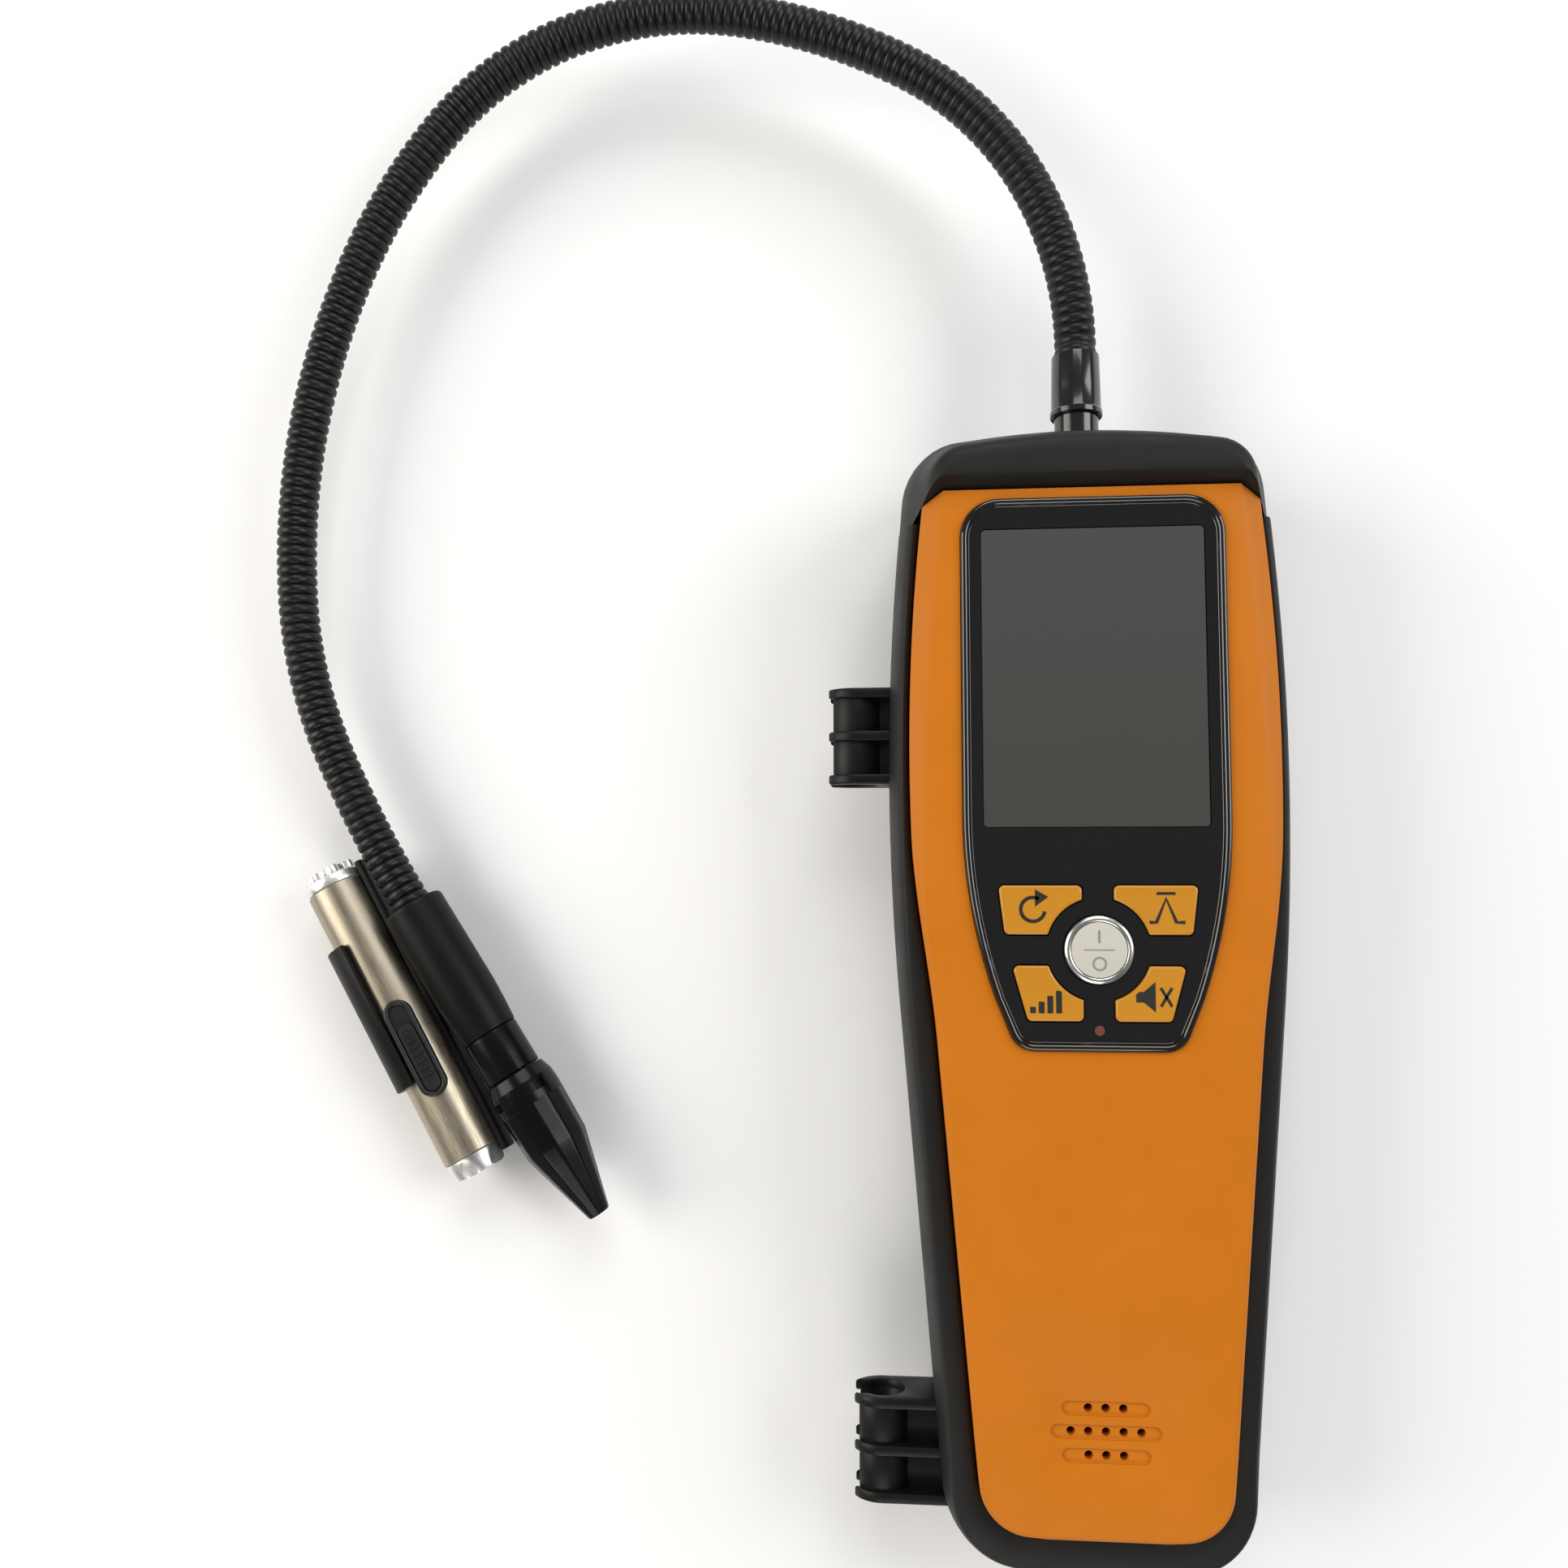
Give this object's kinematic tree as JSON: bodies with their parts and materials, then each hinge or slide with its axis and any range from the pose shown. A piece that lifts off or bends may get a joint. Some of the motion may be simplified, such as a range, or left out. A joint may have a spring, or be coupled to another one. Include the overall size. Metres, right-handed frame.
{
  "type": "portable gas detector",
  "caption": "Handheld gas detector with a display, soft-edged case, side clips and a posable gooseneck that carries a sensor probe and a clip-on pen torch.",
  "frame": {"origin": "middle of the flat back face", "axes": "+X to the right across the display, +Y along the case towards the gooseneck, +Z out of the display"},
  "size_m": [0.1997, 0.3023, 0.041],
  "materials": {
    "orange_plastic": "satin moulded",
    "band_rubber": "satin",
    "case_plastic": "fine spark texture",
    "seal_rubber": "matte",
    "screw_steel": "zinc plated",
    "gloss_black": "glossy",
    "display_glass": "clear hard-coated window over a dark display",
    "display_body": "glossy",
    "board": "solder mask",
    "switch_plastic": "matte",
    "led": "tinted",
    "speaker_black": "matte",
    "cell_can": "printed sleeve",
    "contact_metal": "nickel plated",
    "clip_plastic": "satin",
    "neck_black": "glossy black sleeve over wound steel",
    "sleeve_plastic": "satin gloss",
    "key_plastic": "tinted",
    "power_chrome": "satin chrome",
    "probe_plastic": "satin",
    "probe_gloss": "glossy",
    "sensor_brass": "plated",
    "mesh_steel": "sintered",
    "torch_steel": "brushed round",
    "torch_chrome": "polished",
    "torch_glass": "clear",
    "led_board": "phosphor on white",
    "switch_rubber": "satin"
  },
  "bodies": {
    "case": {"front_cover": "orange_plastic", "side_band": "band_rubber", "top_cap": "band_rubber", "rear_cover": "case_plastic", "case_gasket": "seal_rubber", "case_screws": "screw_steel", "bezel_panel": "gloss_black", "display_window": "display_glass", "lcd_module": "display_body", "main_board": "board", "tact_switches": "switch_plastic", "indicator_led": "led", "speaker": "speaker_black", "battery_cells": "cell_can", "battery_contacts": "contact_metal", "upper_clip": "clip_plastic", "lower_clip": "clip_plastic", "neck_socket": "neck_black", "neck_sleeve": "sleeve_plastic", "neck_stub": "neck_black"},
    "battery_door": {"battery_door": "case_plastic"},
    "reset_key": {"reset_key": "key_plastic"},
    "peak_key": {"peak_key": "key_plastic"},
    "sens_key": {"sens_key": "key_plastic"},
    "mute_key": {"mute_key": "key_plastic"},
    "power_button": {"power_button": "power_chrome"},
    "neck_1": {"neck_1": "neck_black"},
    "neck_2": {"neck_2": "neck_black"},
    "neck_3": {"neck_3": "neck_black"},
    "neck_4": {"neck_4": "neck_black"},
    "neck_5": {"neck_5": "neck_black"},
    "neck_6": {"neck_6": "neck_black"},
    "neck_7": {"neck_7": "neck_black"},
    "neck_8": {"neck_8": "neck_black"},
    "neck_9": {"neck_9": "neck_black"},
    "probe": {"neck_10": "neck_black", "probe_handle": "probe_plastic", "sensor_holder": "probe_gloss", "sensor_board": "board", "sensor_can": "sensor_brass", "sensor_mesh": "mesh_steel", "torch_holder": "probe_plastic"},
    "sensor_guard": {"sensor_guard": "probe_gloss"},
    "torch": {"torch_tube": "torch_steel", "torch_tail_cap": "torch_chrome", "torch_bezel": "torch_chrome", "torch_lens": "torch_glass", "torch_led": "led_board", "torch_battery": "cell_can", "switch_plate": "switch_rubber"},
    "torch_switch": {"switch_slider": "switch_rubber"}
  },
  "joints": [
    {"name": "reset_key_press", "type": "slide", "parent": "case", "child": "reset_key", "axis": [0, 0, -1], "range_m": [0, 0.0008], "stiffness_N_per_m": 1500},
    {"name": "peak_key_press", "type": "slide", "parent": "case", "child": "peak_key", "axis": [0, 0, -1], "range_m": [0, 0.0008], "stiffness_N_per_m": 1500},
    {"name": "sens_key_press", "type": "slide", "parent": "case", "child": "sens_key", "axis": [0, 0, -1], "range_m": [0, 0.0008], "stiffness_N_per_m": 1500},
    {"name": "mute_key_press", "type": "slide", "parent": "case", "child": "mute_key", "axis": [0, 0, -1], "range_m": [0, 0.0008], "stiffness_N_per_m": 1500},
    {"name": "power_button_press", "type": "slide", "parent": "case", "child": "power_button", "axis": [0, 0, -1], "range_m": [0, 0.0008], "stiffness_N_per_m": 1500},
    {"name": "battery_door_slide", "type": "slide", "parent": "case", "child": "battery_door", "axis": [0, -1, 0], "range_m": [0, 0.03]},
    {"name": "neck_bend_1", "type": "hinge", "parent": "case", "child": "neck_1", "pos_m": [0, 0.1212, 0.02], "axis": [-0.0466, -0.0302, 0.9985], "range_deg": [-25, 3]},
    {"name": "neck_lift_2", "type": "hinge", "parent": "neck_1", "child": "neck_2", "pos_m": [-0.0084, 0.15481, 0.02063], "axis": [0.8817, 0.4686, 0.0553], "range_deg": [-15, 10]},
    {"name": "neck_bend_3", "type": "hinge", "parent": "neck_2", "child": "neck_3", "pos_m": [-0.03219, 0.1799, 0.02028], "axis": [-0.0466, -0.0302, 0.9985], "range_deg": [-25, 3]},
    {"name": "neck_lift_4", "type": "hinge", "parent": "neck_3", "child": "neck_4", "pos_m": [-0.06438, 0.19326, 0.01918], "axis": [0.241, 0.9697, 0.0406], "range_deg": [-15, 10]},
    {"name": "neck_bend_5", "type": "hinge", "parent": "neck_4", "child": "neck_5", "pos_m": [-0.09897, 0.19298, 0.01756], "axis": [-0.0466, -0.0302, 0.9985], "range_deg": [-25, 3]},
    {"name": "neck_lift_6", "type": "hinge", "parent": "neck_5", "child": "neck_6", "pos_m": [-0.12836, 0.17498, 0.01564], "axis": [-0.7428, 0.6693, -0.0144], "range_deg": [-15, 30]},
    {"name": "neck_bend_7", "type": "hinge", "parent": "neck_6", "child": "neck_7", "pos_m": [-0.1473, 0.14577, 0.01387], "axis": [-0.0466, -0.0302, 0.9985], "range_deg": [-25, 3]},
    {"name": "neck_lift_8", "type": "hinge", "parent": "neck_7", "child": "neck_8", "pos_m": [-0.15747, 0.11241, 0.01239], "axis": [-0.9839, 0.1743, -0.0406], "range_deg": [-15, 30]},
    {"name": "neck_bend_9", "type": "hinge", "parent": "neck_8", "child": "neck_9", "pos_m": [-0.15927, 0.07756, 0.01125], "axis": [-0.0466, -0.0302, 0.9985], "range_deg": [-25, 3]},
    {"name": "neck_lift_10", "type": "hinge", "parent": "neck_9", "child": "probe", "pos_m": [-0.15054, 0.04387, 0.01064], "axis": [-0.905, -0.4218, -0.055], "range_deg": [-15, 30]},
    {"name": "sensor_guard_pull", "type": "slide", "parent": "probe", "child": "sensor_guard", "axis": [0.5446, -0.8387, 0], "range_m": [0, 0.025]},
    {"name": "torch_slide", "type": "slide", "parent": "probe", "child": "torch", "axis": [-0.4879, 0.8729, 0], "range_m": [0, 0.045]},
    {"name": "torch_switch_slide", "type": "slide", "parent": "torch", "child": "torch_switch", "axis": [-0.4879, 0.8729, 0], "range_m": [0, 0.004]}
  ]
}
